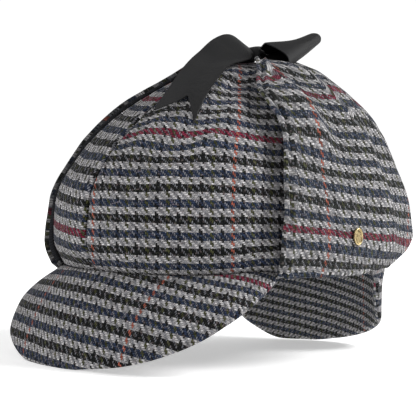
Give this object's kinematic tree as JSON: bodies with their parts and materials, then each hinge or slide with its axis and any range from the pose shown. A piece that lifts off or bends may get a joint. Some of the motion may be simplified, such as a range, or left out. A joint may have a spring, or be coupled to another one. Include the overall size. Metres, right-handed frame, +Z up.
{
  "type": "deerstalker hat",
  "caption": "Deerstalker hat of checked tweed with a front and a rear peak, ear flaps folded up and tied over the crown with a ribbon bow.",
  "frame": {"origin": "middle of the footprint, on the surface the peaks rest on", "axes": "+Z up; front of the hat along -Y; the wearer's left along +X; the hat is longest along Y"},
  "size_m": [0.1798, 0.2268, 0.1806],
  "materials": {
    "crown_front_left": "checked wool tweed",
    "crown_side_left": "checked wool tweed",
    "crown_back_left": "checked wool tweed",
    "crown_back_right": "checked wool tweed",
    "crown_side_right": "checked wool tweed",
    "crown_front_right": "checked wool tweed",
    "peak_front": "checked wool tweed over a stiff core",
    "peak_rear": "checked wool tweed over a stiff core",
    "ear_flap_left": "checked wool tweed",
    "ear_flap_right": "checked wool tweed",
    "ribbon_tie_left": "matte black ribbon",
    "ribbon_tie_right": "matte black ribbon",
    "bow_knot": "matte black ribbon",
    "bow_loop_left": "matte black ribbon",
    "bow_loop_right": "matte black ribbon",
    "bow_tail_front": "matte black ribbon",
    "bow_tail_back": "matte black ribbon",
    "badge": "aged brass"
  },
  "bodies": {
    "root": {"crown_front_left": "crown_front_left", "crown_side_left": "crown_side_left", "crown_back_left": "crown_back_left", "crown_back_right": "crown_back_right", "crown_side_right": "crown_side_right", "crown_front_right": "crown_front_right", "peak_front": "peak_front", "peak_rear": "peak_rear", "ear_flap_left": "ear_flap_left", "ear_flap_right": "ear_flap_right", "ribbon_tie_left": "ribbon_tie_left", "ribbon_tie_right": "ribbon_tie_right", "bow_knot": "bow_knot", "bow_loop_left": "bow_loop_left", "bow_loop_right": "bow_loop_right", "bow_tail_front": "bow_tail_front", "bow_tail_back": "bow_tail_back", "badge": "badge"}
  },
  "joints": []
}
